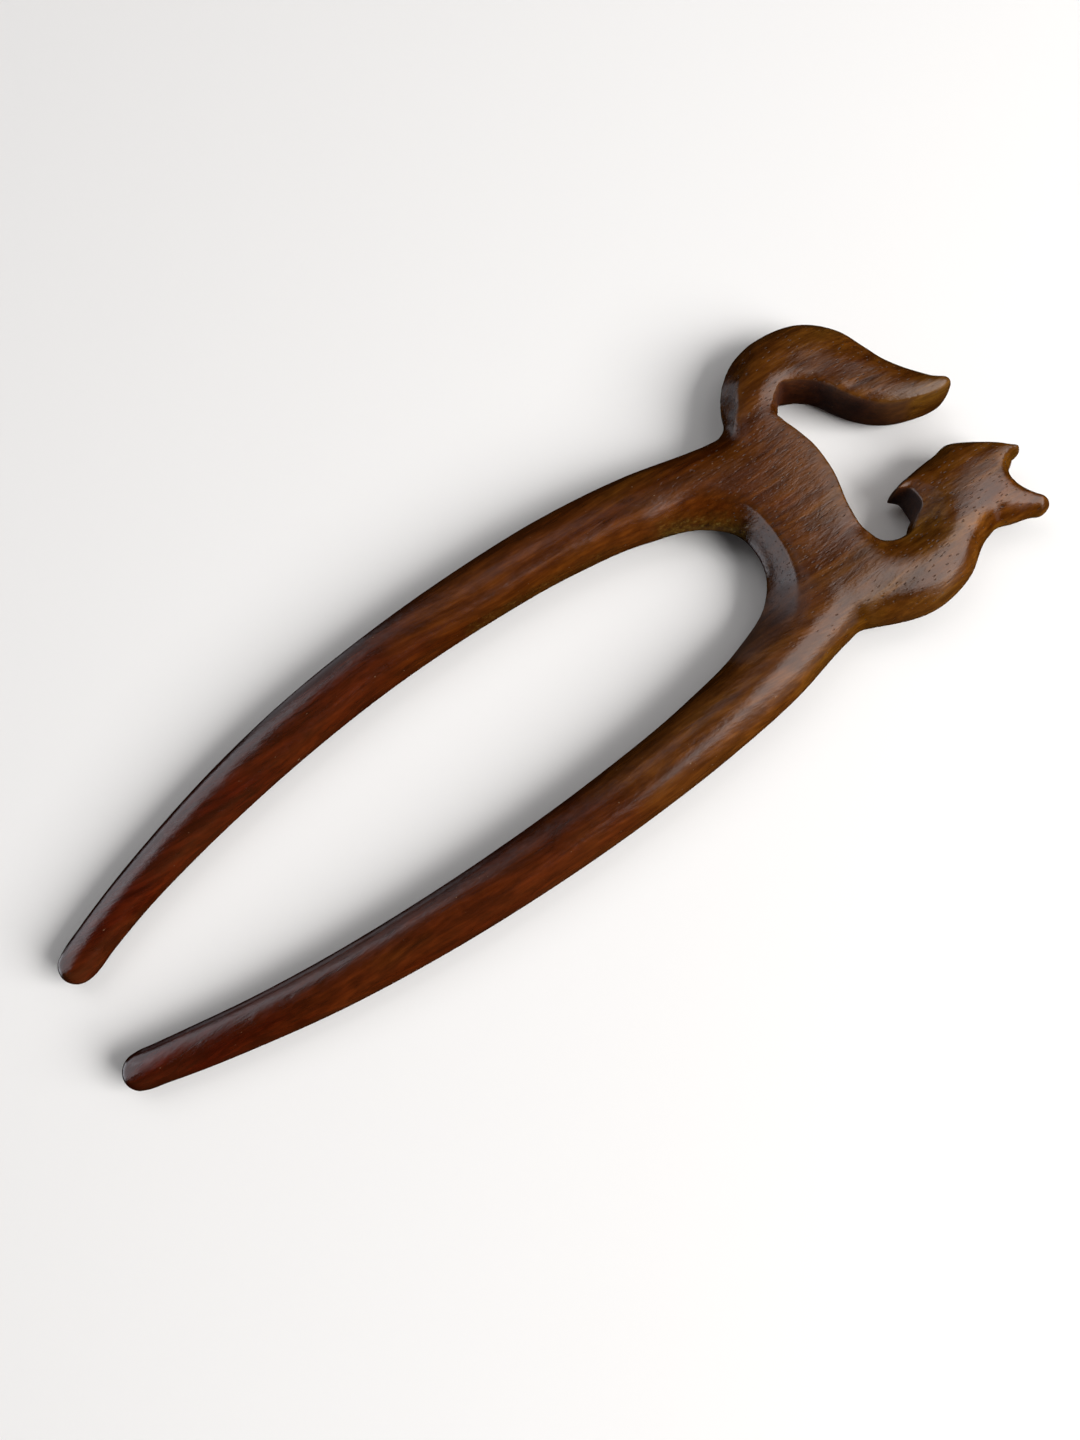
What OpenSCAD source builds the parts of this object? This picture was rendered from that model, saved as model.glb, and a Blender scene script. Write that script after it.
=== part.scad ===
// Hair fork carved from one piece of wood: two long bowed prongs whose bridge is the trunk of a
// fox that looks back at its own raised tail. Lengths are in millimetres, +Z is up, the prongs
// lie along X and the fork rests on the plane Z = 0.

/* [Fork] */
// Overall length, prong tips to ears
fork_l = 160; // [145:1:180]
// Thickness of the wood at the trunk
body_t = 8.4; // [7:0.1:9.6]
// Thickness of the wood at the prong tips
tip_t = 5.2; // [4:0.1:6.4]
// Full width of a prong halfway along
prong_w = 9.2; // [8:0.1:10.4]

/* [Carving] */
// Squareness of the rounded edges: 2 is a quarter round, higher is squarer
edge_power = 2.2; // [2:0.05:2.6]
// Width of the rounded edge of the trunk, neck and outer tail
body_soft = 4.5; // [3:0.1:6]
// Width of the rounded edge above the steep wall inside the tail
wall_soft = 2.2; // [1:0.1:3]
// Share of the thickness the top loses between the middle of the wood and its edge
dome = 0.15; // [0:0.01:0.24]

/* [Smoothness] */
// Pieces each stretch of edge between two sections is cut into
along = 3; // [2:1:3]
// Pieces the rounded edge is cut into between the top and the middle of the wood
around = 5; // [3:1:5]

/* [Hidden] */
wood = [0.30, 0.17, 0.09];

// Where the fox's ears end, where its body ends and the prongs begin, and where the far prong's
// first section lies, all as drawn in the tables below
ear_x = 42.71;
root_x = -9;
far_tip_x = -114.6;
// Length of the rounded end of a prong
prong_end = 2.9;
// The prongs take up any change of overall length
stretch = (fork_l - (ear_x - root_x) - prong_end) / (root_x - far_tip_x);
drawn_prong_w = 9.2;

// Columns of every section table: x, y of the middle of the wood, reach to the left edge,
// reach to the right edge, share of the trunk's thickness, width of the rounded edge left and right.
// Left and right are as seen when walking along the limb in the order of its rows.
X = 0;
Y = 1;
LEFT = 2;
RIGHT = 3;
THICK = 4;
SOFT_LEFT = 5;
SOFT_RIGHT = 6;

function prong_row(x, y, reach, share) = [
    root_x + (x - root_x) * stretch,
    y,
    reach * prong_w / drawn_prong_w,
    reach * prong_w / drawn_prong_w,
    (tip_t + (body_t - tip_t) * share) / body_t,
    prong_w,
    prong_w
];

// Prong rows hold x, y, reach to either edge, and thickness from 0 at the tip to 1 at the body.
// Far prong, from its tip to the body
far_prong = [
    prong_row(far_tip_x, 7.25, 2.85, 0),
    prong_row(-110.5, 9.1, 3.0, 0.05),
    prong_row(-104, 11.65, 3.2, 0.12),
    prong_row(-95, 14.5, 3.55, 0.24),
    prong_row(-84, 17.4, 4.0, 0.38),
    prong_row(-71, 20.0, 4.35, 0.55),
    prong_row(-55, 22.0, 4.55, 0.7),
    prong_row(-38, 22.8, 4.85, 0.85),
    prong_row(-22, 22.4, 5.15, 0.95)
];

// Trunk, from the root of the far prong round the arch to the root of the near prong
trunk = [
    [-9, 20.8, 5.3, 5.8, 1, 5.2, 6.5],
    [0.5, 18.2, 6.0, 7.2, 1, body_soft, 5.5],
    [8, 13.6, 0, 9.0, 1, 0, 5],
    [10, 7.4, 7.8, 8.8, 1, 3, 5],
    [9.9, 2.4, 6.3, 8.8, 1, 3, 5],
    [7.4, -3.6, 0, 8.3, 1, 0, 5.5],
    [1.4, -8.7, 6.5, 7.0, 1, body_soft, 6],
    [-8, -11.8, 5.6, 5.6, 1, 5, 6]
];

// Near prong, from the body to its tip
near_prong = [
    prong_row(-20, -14.1, 5.1, 0.95),
    prong_row(-36, -15.75, 4.8, 0.83),
    prong_row(-53, -16.5, 4.5, 0.69),
    prong_row(-70, -16.35, 4.15, 0.53),
    prong_row(-85, -15.4, 3.75, 0.36),
    prong_row(-97, -13.9, 3.35, 0.2),
    prong_row(-106, -12.4, 3.1, 0.1),
    prong_row(-110.5, -11.55, 2.9, 0.05),
    prong_row(-113.1, -11.05, 2.8, 0)
];

main_limb = concat(far_prong, trunk, near_prong);
// Rows of the main limb where the tail and the neck grow out
tail_root = len(far_prong) + 2;
neck_root = len(far_prong) + 5;

// Tail: up, over and out behind the fox. It starts from the trunk.
tail = [
    main_limb[tail_root],
    [13.2, 24.2, 3.8, 4.8, 1, body_soft, 2.5],
    [15.5, 26.8, 4.3, 4.9, 0.98, body_soft, wall_soft],
    [18.3, 28.4, 4.9, 5.2, 0.96, body_soft, wall_soft],
    [21.5, 28.4, 5.4, 5.7, 0.94, body_soft, wall_soft],
    [25.2, 27, 6.3, 6.2, 0.92, body_soft, wall_soft],
    [28.2, 24, 6.1, 6.2, 0.9, body_soft, wall_soft],
    [30.2, 20.8, 5.0, 6.4, 0.9, body_soft, wall_soft],
    [31.8, 17.7, 4.4, 6.1, 0.9, body_soft, wall_soft],
    [33.8, 14.7, 4.1, 5.1, 0.9, body_soft, 1.8],
    [36.4, 12.3, 3.3, 3.1, 0.9, 3.5, 1.2],
    [38.6, 10.8, 0, 0, 0.88, 0, 0]
];

// Neck and head, from the trunk to the tip of the near ear
neck = [
    main_limb[neck_root],
    [14, -9.8, 6.2, 6.6, 1, 1.6, body_soft],
    [18.6, -11.7, 6.05, 5.8, 1, 1, body_soft],
    [22.9, -11.3, 6.0, 5.1, 1, 0.8, body_soft],
    [26.6, -9.0, 6.15, 5.1, 1, 0.6, 4],
    [29.6, -4.4, 0, 0, 0.97, 0, 0],
    [34, -2.6, 0, 0, 0.9, 0, 0],
    [37.2, -2, 3.1, 0, 0.78, 3.5, 0],
    [39.8, -2.8, 1.6, 0, 0.6, 2, 0],
    [41.6, -3.6, 0.7, 0.8, 0.45, 1, 1]
];
// Length of the ear's tip past the neck's last row
near_ear_end = 1.2;
// Rows of the neck where the snout and the far ear grow out
cheek = 5;
brow = 6;

// Far ear, from the brow to its tip
ear = [
    neck[brow],
    [36.4, -9.2, 3.1, 0, 0.75, 2.5, 0],
    [38.9, -11.6, 1.4, 2.3, 0.5, 1.6, 2.3]
];
// Length of the tip past the far ear's last row
far_ear_end = 2.4;

// Snout, from the cheek to the nose
snout = [
    neck[cheek],
    [26.9, -1.3, 0, 0, 0.93, 0, 0],
    [25.2, 0.1, 0, 0, 0.86, 0, 0]
];

// Corner tables, columns x, y, width of the rounded edge: the edge where two limbs meet, at the
// tail's tip and round the head. Each belongs to one row, whose own reach is 0 on that side.
rump_corner = [
    [5.4, 23.3, body_soft],
    [7.4, 23.2, body_soft],
    [9.0, 24.1, body_soft]
];
tail_tip_corner = [
    [39.9, 12.3, 1.2],
    [40.8, 11.1, 0.6],
    [40.8, 10.1, 0.5],
    [39.8, 9.5, 0.5],
    [37.4, 9.3, 0.8]
];
back_corner = [
    [16.6, 20.9, 2.5],
    [16.7, 19.6, 2.7],
    [17.5, 17, 3],
    [18.1, 12.8, 3]
];
notch_corner = [
    [15.9, -1.2, 2.5],
    [16.3, -3.0, 2]
];
chin_corner = [[24.0, -3.3, 0.5]];
lip_corner = [[24.3, -1.7, 0.5]];
nose_corner = [
    [24.0, -0.3, 0.5],
    [23.4, 0.7, 0.5],
    [22.8, 1.15, 1.2],
    [23.9, 0.9, 2.5]
];
bridge_corner = [[26.3, 1.5, 2.5]];
cheek_corner = [[29.3, 2.2, 4]];
brow_corner = [
    [32, 2.4, body_soft],
    [34.4, 2.8, body_soft],
    [36.1, 2.1, body_soft]
];
ear_tip_corner = [[40.4, -5.2, 2]];
ear_corner = [[39.4, -5.9, 2.4]];
dip_corner = [[38.9, -6.7, 2.4]];
ear_side_corner = [[35.6, -13.2, 3.5]];
nape_corner = [[32.2, -12.1, 3.5]];
throat_corner = [[31.1, -12.4, 3.5]];
chest_corner = [
    [8.8, -14.6, body_soft],
    [6.8, -13.95, body_soft]
];

limbs = [main_limb, tail, neck, ear, snout];
MAIN = 0;
TAIL = 1;
NECK = 2;
EAR = 3;
SNOUT = 4;
// For each limb, the limb and the row it grows from
grows_from = [[0, 0], [MAIN, tail_root], [MAIN, neck_root], [NECK, brow], [NECK, cheek]];

function last(rows) = len(rows) - 1;
function flat(p) = [p[X], p[Y]];
function unit(v) = v / norm(v);
function quarter_turn(v) = [-v[1], v[0]];
function sum_to(list, n) = n <= 0 ? 0 : list[n - 1] + sum_to(list, n - 1);

// Slope at b of a smooth line through a, b, c, weighted by how near a and c are
function slope(a, b, c) =
    let(before = norm(flat(b - a)), after = norm(flat(c - b)))
        before == 0 ? (c - b) / after
        : after == 0 ? (b - a) / before
        : ((b - a) / before * after + (c - b) / after * before) / (before + after);

// Point a share f of the way from b to c on the smooth line through a, b, c, d
function between(a, b, c, d, f) =
    let(
        run = norm(flat(c - b)),
        s = slope(a, b, c) * run,
        t = slope(b, c, d) * run
    )
        b * (2 * f * f * f - 3 * f * f + 1) + c * (3 * f * f - 2 * f * f * f)
            + s * (f * f * f - 2 * f * f + f) + t * (f * f * f - f * f);

// Direction of a limb at row i, and the points where that row meets the edge
function heading(rows, i) =
    unit(slope(flat(rows[max(i - 1, 0)]), flat(rows[i]), flat(rows[min(i + 1, last(rows))])));
function left_edge(rows, i) = flat(rows[i]) + quarter_turn(heading(rows, i)) * rows[i][LEFT];
function right_edge(rows, i) = flat(rows[i]) - quarter_turn(heading(rows, i)) * rows[i][RIGHT];

// Each rib of the skin is x, y where it meets the edge, its rounding, its limb and its row
function left_ribs(limb, first, end) = [
    for (i = [first:1:end])
        concat(left_edge(limbs[limb], i), [limbs[limb][i][SOFT_LEFT], limb, i])
];
function right_ribs(limb, first, end) = [
    for (i = [first:-1:end])
        concat(right_edge(limbs[limb], i), [limbs[limb][i][SOFT_RIGHT], limb, i])
];
// Ribs that fan round row i, the first or last of a limb, whose end stands ahead of that row
function end_ribs(limb, i, ahead, turns) =
    let(
        row = limbs[limb][i],
        forward = heading(limbs[limb], i) * (i == 0 ? -1 : 1)
    ) [
        for (a = turns)
            let(left = (a > 0) == (i > 0))
                concat(
                    flat(row) + forward * ahead * cos(a)
                        + quarter_turn(forward) * row[left ? LEFT : RIGHT] * sin(a),
                    [row[left ? SOFT_LEFT : SOFT_RIGHT], limb, i]
                )
    ];
function corner_ribs(corner, limb, row) = [for (c = corner) [c[X], c[Y], c[2], limb, row]];

// Directions of the ribs that fan round a blunt end and round a pointed one, 0 is straight ahead
round_end = [60, 30, 0, -30, -60];
pointed_end = [50, 0, -50];

// Once round the fork, the outside of the far prong first
ribs = concat(
    left_ribs(MAIN, 0, tail_root - 1),
    corner_ribs(rump_corner, MAIN, tail_root),
    left_ribs(TAIL, 1, last(tail) - 1),
    corner_ribs(tail_tip_corner, TAIL, last(tail)),
    right_ribs(TAIL, last(tail) - 1, 1),
    corner_ribs(back_corner, MAIN, tail_root),
    left_ribs(MAIN, tail_root + 1, neck_root - 1),
    corner_ribs(notch_corner, MAIN, neck_root),
    left_ribs(NECK, 1, cheek - 1),
    corner_ribs(chin_corner, NECK, cheek),
    corner_ribs(lip_corner, SNOUT, 1),
    corner_ribs(nose_corner, SNOUT, 2),
    corner_ribs(bridge_corner, SNOUT, 1),
    corner_ribs(cheek_corner, NECK, cheek),
    corner_ribs(brow_corner, NECK, brow),
    left_ribs(NECK, brow + 1, last(neck)),
    end_ribs(NECK, last(neck), near_ear_end, pointed_end),
    right_ribs(NECK, last(neck), last(neck)),
    corner_ribs(ear_tip_corner, NECK, brow + 2),
    corner_ribs(ear_corner, NECK, brow + 1),
    corner_ribs(dip_corner, NECK, brow),
    left_ribs(EAR, 1, last(ear)),
    end_ribs(EAR, last(ear), far_ear_end, round_end),
    right_ribs(EAR, last(ear), 2),
    corner_ribs(ear_side_corner, EAR, 1),
    corner_ribs(nape_corner, NECK, brow),
    corner_ribs(throat_corner, NECK, cheek),
    right_ribs(NECK, cheek - 1, 1),
    corner_ribs(chest_corner, MAIN, neck_root),
    left_ribs(MAIN, neck_root + 1, last(main_limb)),
    end_ribs(MAIN, last(main_limb), prong_end, round_end),
    right_ribs(MAIN, last(main_limb), 0),
    end_ribs(MAIN, 0, prong_end, round_end)
);

// Points of the ridge, the line of full thickness, are numbered limb after limb. Each holds x, y,
// the height of the middle of the wood and half its thickness. The prongs thin from the top only,
// so that they rest on the table. Tail and ears thin on both faces.
limb_steps = [for (rows = limbs) last(rows) * along];
function ridge_id(limb, step) =
    step == 0 && limb > 0 ? ridge_id(grows_from[limb][0], grows_from[limb][1] * along)
    : sum_to(limb_steps, limb) + step;
function ridge_row(limb, i) =
    let(row = limbs[limb][max(0, min(i, last(limbs[limb])))])
        [row[X], row[Y], body_t * row[THICK] / 2];
function ridge_point(limb, step) =
    let(
        i = min(floor(step / along), last(limbs[limb]) - 1),
        p = between(
            ridge_row(limb, i - 1),
            ridge_row(limb, i),
            ridge_row(limb, i + 1),
            ridge_row(limb, i + 2),
            step / along - i
        ),
        half = min(p[2], body_t / 2)
    )
        [p[0], p[1], limb == MAIN ? half : body_t / 2, half];
ridge = [
    for (limb = [0:last(limbs)])
        for (step = [(limb == 0 ? 0 : 1):limb_steps[limb]])
            ridge_point(limb, step)
];

// The row of a rib as its neighbour's limb counts it, where the two limbs share that row
function row_in(limb, rib) =
    rib[3] == limb ? rib[4]
    : rib[4] == 0 && grows_from[rib[3]][0] == limb ? grows_from[rib[3]][1]
    : 0;
function shared_limb(rib, next) =
    rib[3] == next[3] ? rib[3] : max(rib[3], next[3]);

// All ribs, with new ones set between each two: x, y, rounding, ridge point number
function rib_at(i) = ribs[(i + len(ribs)) % len(ribs)];
all_ribs = [
    for (i = [0:last(ribs)])
        let(
            here = rib_at(i),
            next = rib_at(i + 1),
            limb = shared_limb(here, next),
            start = row_in(limb, here),
            stop = row_in(limb, next)
        )
            for (k = [0:along - 1])
                let(
                    f = k / along,
                    edge = between(flat(rib_at(i - 1)), flat(here), flat(next),
                        flat(rib_at(i + 2)), f)
                )
                    [
                        edge[0],
                        edge[1],
                        here[2] + (next[2] - here[2]) * f,
                        ridge_id(limb, start * along + (stop - start) * k)
                    ]
];

// Middle of the fork's outline, which is set over the origin
function middle_of(list) = (min(list) + max(list)) / 2;
centre = [
    middle_of([for (rib = all_ribs) rib[0]]),
    middle_of([for (rib = all_ribs) rib[1]]),
    0
];

// Points of one rib: halfway over the top, then round the edge of the wood in equal turns, then
// halfway back underneath
inner = 2 * around + 3;
rib_turns = [for (q = [-1:2 * around + 1]) q];
function rib_points(rib) =
    let(
        middle = ridge[rib[3]],
        reach = [rib[0], rib[1]] - flat(middle),
        soft = min(rib[2] / norm(reach), 0.85),
        power = 2 / edge_power
    ) [
        for (q = rib_turns)
            let(
                a = 90 * q / around,
                on_edge = q >= 0 && q <= 2 * around,
                out = on_edge ? 1 - soft + soft * pow(sin(a), power) : (1 - soft) / 2,
                round = on_edge ? sign(cos(a)) * pow(abs(cos(a)), power) : q < 0 ? 1 : -1,
                up = round * (1 - dome + dome * sqrt(1 - out * out))
            )
                [
                    middle[0] + reach[0] * out,
                    middle[1] + reach[1] * out,
                    middle[2] + middle[3] * up
                ]
    ];

top = len(all_ribs) * inner;
under = top + len(ridge);
skin_points = concat(
    [for (rib = all_ribs) each rib_points(rib)],
    [for (p = ridge) [p[0], p[1], p[2] + p[3]]],
    [for (p = ridge) [p[0], p[1], p[2] - p[3]]]
);
skin_faces = [
    for (i = [0:last(all_ribs)])
        let(
            j = (i + 1) % len(all_ribs),
            a = i * inner,
            b = j * inner,
            p = all_ribs[i][3],
            q = all_ribs[j][3]
        )
            each concat(
                [for (k = [0:inner - 2]) each [[a + k, a + k + 1, b + k], [b + k, a + k + 1, b + k + 1]]],
                [[top + p, a, b], [under + p, b + inner - 1, a + inner - 1]],
                p == q ? []
                : [[top + p, b, top + q], [under + p, under + q, b + inner - 1]]
            )
];

module hair_fork() {
    color(wood)
        translate(-centre)
            polyhedron(points = skin_points, faces = skin_faces);
}

hair_fork();
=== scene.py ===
"""Looks of the carved wooden hair fork: one piece of oiled dark walnut, two prongs and a fox.

The fork is drawn by tables like those of the part's source, in millimetres in a drawing frame. Its
centre moves to the origin as the mesh is made, and everything handed to Blender is in metres.
"""
import math

import bpy
import numpy as np
from mathutils import Matrix, Vector


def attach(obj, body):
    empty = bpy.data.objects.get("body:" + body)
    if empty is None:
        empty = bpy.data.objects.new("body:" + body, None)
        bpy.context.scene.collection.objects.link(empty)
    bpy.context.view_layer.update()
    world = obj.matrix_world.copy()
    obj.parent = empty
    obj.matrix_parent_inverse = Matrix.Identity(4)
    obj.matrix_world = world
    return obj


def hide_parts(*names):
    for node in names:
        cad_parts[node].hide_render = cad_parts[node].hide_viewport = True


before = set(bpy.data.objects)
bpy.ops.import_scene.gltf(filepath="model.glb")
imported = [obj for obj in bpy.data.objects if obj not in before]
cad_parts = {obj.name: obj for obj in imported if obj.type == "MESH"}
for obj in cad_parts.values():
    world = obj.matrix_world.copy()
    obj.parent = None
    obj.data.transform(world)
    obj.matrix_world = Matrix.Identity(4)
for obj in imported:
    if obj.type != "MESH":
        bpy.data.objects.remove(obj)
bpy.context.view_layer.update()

MM = 0.001

# sizes, as in the part's source
FORK_L = 160.0
BODY_T = 8.4
TIP_T = 5.2

# widths of the rounded edge: the body, a wall that was left steep, a prong and its inner side
BODY_SOFT = 5.6
WALL_SOFT = 1.3
PRONG_SOFT = 9.2
PRONG_INNER_SOFT = 4

# the section's curve: its power, how far the faces dome, the widest rounding as a share of the
# reach, and what a worked bevel adds to the power outwards and in turning
EDGE_POWER = 2.2
DOME = 0.42
WIDEST_SOFT = 0.85
BEVEL_OUT = 0.9
BEVEL_TURN = 0.5

# steps from one row to the next, and in a quarter turn of the edge
ALONG = 8
AROUND = 8

# where the fork begins and ends in the drawing; the prongs are stretched to the fork's length
DRAWING_CENTRE = (-37.28, 6.37)
EAR_X = 42.71
ROOT_X = -9.0
FAR_TIP_X = -114.6
PRONG_END = 2.9
STRETCH = (FORK_L - (EAR_X - ROOT_X) - PRONG_END) / (ROOT_X - FAR_TIP_X)

# columns of a row: x, y, reach to the left and right, share of the body's thickness, and the width
# of the rounded edge on the left and right
X, Y, LEFT, RIGHT, THICK, SOFT_LEFT, SOFT_RIGHT = range(7)


def prong_row(x, y, reach, share, inner=PRONG_SOFT):
    """A prong's row; share goes from 0, the tip's thickness, to 1, the body's."""
    thick = (TIP_T + (BODY_T - TIP_T) * share) / BODY_T
    return [ROOT_X + (x - ROOT_X) * STRETCH, y, reach, reach, thick, PRONG_SOFT, inner]


FAR_PRONG = [
    prong_row(FAR_TIP_X, 7.25, 2.85, 0),
    prong_row(-110.5, 9.1, 3.0, 0.05),
    prong_row(-104, 11.65, 3.2, 0.12),
    prong_row(-95, 14.5, 3.55, 0.24),
    prong_row(-84, 17.4, 4.0, 0.38),
    prong_row(-71, 20.0, 4.35, 0.55, PRONG_INNER_SOFT),
    prong_row(-55, 22.0, 4.55, 0.7, PRONG_INNER_SOFT),
    prong_row(-38, 22.8, 4.85, 0.85, PRONG_INNER_SOFT),
    prong_row(-22, 22.4, 5.15, 0.95, PRONG_INNER_SOFT),
]
TRUNK = [
    [-9, 20.8, 5.3, 5.8, 1, 5.2, 4.2],
    [0.5, 18.2, 6.0, 7.2, 1, BODY_SOFT, 4.8],
    [8, 13.6, 0, 9.0, 1, 0, 3.8],
    [10, 7.4, 7.8, 8.8, 1, 1.1, 3.2],
    [9.9, 2.4, 6.3, 8.8, 1, 1.2, 3.2],
    [7.4, -3.6, 0, 8.3, 1, 0, 3.8],
    [1.4, -8.7, 6.5, 7.0, 1, BODY_SOFT, 5],
    [-8, -11.8, 5.6, 5.6, 1, 5, 6],
]
NEAR_PRONG = [
    prong_row(-20, -14.1, 5.1, 0.95),
    prong_row(-36, -15.75, 4.8, 0.83),
    prong_row(-53, -16.5, 4.5, 0.69),
    prong_row(-70, -16.35, 4.15, 0.53),
    prong_row(-85, -15.4, 3.75, 0.36),
    prong_row(-97, -13.9, 3.35, 0.2),
    prong_row(-106, -12.4, 3.1, 0.1),
    prong_row(-110.5, -11.55, 2.9, 0.05),
    prong_row(-113.1, -11.05, 2.8, 0),
]
MAIN_LIMB = FAR_PRONG + TRUNK + NEAR_PRONG
TAIL_ROOT = len(FAR_PRONG) + 2
NECK_ROOT = len(FAR_PRONG) + 5
TAIL_ROWS = [
    MAIN_LIMB[TAIL_ROOT],
    [13.2, 24.2, 3.8, 4.8, 1, 2.6, 2.5],
    [15.5, 26.8, 4.3, 4.8, 0.98, 2.8, WALL_SOFT],
    [18.3, 28.4, 4.9, 5.0, 0.96, 4, WALL_SOFT],
    [21.5, 28.4, 5.6, 5.35, 0.94, BODY_SOFT, WALL_SOFT],
    [25.2, 27, 6.5, 5.7, 0.92, BODY_SOFT, WALL_SOFT],
    [28.2, 24, 6.35, 5.6, 0.9, BODY_SOFT, WALL_SOFT],
    [30.2, 20.8, 5.2, 5.8, 0.9, BODY_SOFT, WALL_SOFT],
    [31.8, 17.7, 4.55, 5.6, 0.9, BODY_SOFT, WALL_SOFT],
    [33.8, 14.7, 4.2, 4.8, 0.9, BODY_SOFT, 1.8],
    [36.4, 12.3, 3.3, 3.0, 0.9, 3.5, 1.2],
    [38.6, 10.8, 0, 0, 0.88, 0, 0],
]
NECK_ROWS = [
    MAIN_LIMB[NECK_ROOT],
    [14, -9.8, 6.2, 6.6, 1, 1.4, BODY_SOFT],
    [18.6, -11.7, 6.05, 5.8, 1, 1, BODY_SOFT],
    [22.9, -11.3, 6.0, 5.1, 1, 0.8, BODY_SOFT],
    [26.6, -9.0, 6.15, 5.1, 1, 0.6, 4],
    [29.6, -4.4, 0, 0, 0.97, 0, 0],
    [34, -2.6, 0, 0, 0.9, 0, 0],
    [37.2, -2, 3.1, 0, 0.84, 3.5, 0],
    [39.8, -2.8, 1.6, 0, 0.72, 2, 0],
    [41.6, -3.6, 0.7, 0.8, 0.58, 1, 1],
]
NEAR_EAR_END = 1.2
CHEEK = 5
BROW = 6
EAR_ROWS = [
    NECK_ROWS[BROW],
    [36.4, -9.2, 3.1, 0, 0.75, 2.5, 0],
    [39.3, -11.9, 1.3, 2.3, 0.5, 1.6, 2.0],
]
FAR_EAR_END = 2.2
SNOUT_ROWS = [
    NECK_ROWS[CHEEK],
    [26.9, -1.3, 0, 0, 0.93, 0, 0],
    [25.2, 0.1, 0, 0, 0.86, 0, 0],
]

# corners that lie off the rows, in order round the fork: x, y, width of the rounded edge
RUMP = [[5.4, 23.3, BODY_SOFT], [7.4, 23.2, 4.5], [9.0, 24.1, 3]]
TAIL_TIP = [[39.9, 12.3, 1.2], [40.8, 11.1, 0.6], [40.8, 10.1, 0.5], [39.8, 9.5, 0.5], [37.4, 9.3, 0.8]]
BACK = [[16.4, 20.9, 1.4], [16.4, 19.6, 1.0], [17.1, 17, 1.0], [17.9, 12.8, 1.0]]
NOTCH = [[15.9, -1.2, 1.2], [16.3, -3.0, 1.4]]
CHIN = [[24.1, -3.4, 0.6]]
LIP = [[24.35, -1.9, 0.5]]
NOSE = [[24.25, -0.5, 0.4], [23.65, 0.3, 0.3], [23.0, 0.9, 0.4], [23.9, 1.2, 0.6]]
BRIDGE = [[26.3, 1.6, 2.0]]
CHEEK_TOP = [[29.3, 2.15, 4]]
BROW_TOP = [[32, 2.4, BODY_SOFT], [34.4, 2.8, BODY_SOFT], [36.1, 2.1, BODY_SOFT]]
EAR_TIP = [[40.4, -5.2, 2]]
EAR_INNER = [[39.4, -5.9, 2.4]]
DIP = [[38.9, -6.7, 2.4]]
EAR_SIDE = [[35.0, -12.85, 3.5]]
NAPE = [[32.2, -12.1, 3.5]]
THROAT = [[31.1, -12.4, 3.5]]
CHEST = [[8.8, -14.6, 4.8], [6.8, -13.95, 4.8]]

LIMBS = [np.array(rows, float) for rows in (MAIN_LIMB, TAIL_ROWS, NECK_ROWS, EAR_ROWS, SNOUT_ROWS)]
MAIN, TAIL, NECK, EAR, SNOUT = range(5)
# the limb and row that each limb grows from, the main limb from nothing
GROWS_FROM = [(0, 0), (MAIN, TAIL_ROOT), (MAIN, NECK_ROOT), (NECK, BROW), (NECK, CHEEK)]
# turns in degrees of the ribs that fan round an end
ROUND_END = [60, 30, 0, -30, -60]
POINTED_END = [50, 0, -50]
# shares of the dome: level faces at the tail's inner wall and almost level ones at the back
TAIL_DOME = 0
BACK_DOME = 0.12
FACE_DOME = 0.3
NAPE_DOME = 0.9
CHEST_DOME = 0.4
ARCH_DOME = 0.3


# the skin
def slope(a, b, c):
    """Slope at b of a smooth line through a, b, c, weighted by how near a and c are."""
    before, after = np.linalg.norm((b - a)[:2]), np.linalg.norm((c - b)[:2])
    if before == 0:
        return (c - b) / after
    if after == 0:
        return (b - a) / before
    return ((b - a) / before * after + (c - b) / after * before) / (before + after)


def between(a, b, c, d, f):
    """Point a share f of the way from b to c on the smooth line through a, b, c, d."""
    run = np.linalg.norm((c - b)[:2])
    s, t = slope(a, b, c) * run, slope(b, c, d) * run
    return (b * (2 * f**3 - 3 * f**2 + 1) + c * (3 * f**2 - 2 * f**3)
            + s * (f**3 - 2 * f**2 + f) + t * (f**3 - f**2))


def heading(rows, i):
    """Unit direction of a limb at row i."""
    v = slope(rows[max(i - 1, 0)][:2], rows[i][:2], rows[min(i + 1, len(rows) - 1)][:2])
    return v / np.linalg.norm(v)


def quarter_turn(v):
    """A direction turned left by a right angle."""
    return np.array([-v[1], v[0]])


def side_ribs(limb, order, side):
    """Ribs where the rows of a limb meet its left or right edge.

    A rib is x, y, width of the rounded edge, limb, row and share of the dome.
    """
    rows, out = LIMBS[limb], []
    sign, soft = (1, SOFT_LEFT) if side == LEFT else (-1, SOFT_RIGHT)
    for i in order:
        p = rows[i][:2] + sign * quarter_turn(heading(rows, i)) * rows[i][side]
        out.append((p[0], p[1], rows[i][soft], limb, i, 1))
    return out


def end_ribs(limb, i, ahead, turns):
    """Ribs that fan round the first or last row of a limb."""
    row = LIMBS[limb][i]
    forward = heading(LIMBS[limb], i) * (-1 if i == 0 else 1)
    out = []
    for a in turns:
        left = (a > 0) == (i > 0)
        p = (row[:2] + forward * ahead * math.cos(math.radians(a))
             + quarter_turn(forward) * row[LEFT if left else RIGHT] * math.sin(math.radians(a)))
        out.append((p[0], p[1], row[SOFT_LEFT if left else SOFT_RIGHT], limb, i, 1))
    return out


def corner_ribs(corner, limb, row):
    """Ribs to the points of a corner table, from one row of a limb."""
    return [(x, y, soft, limb, row, 1) for x, y, soft in corner]


def domed(share, ribs):
    """The same ribs with this share of the dome."""
    return [(*rib[:5], share) for rib in ribs]


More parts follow.
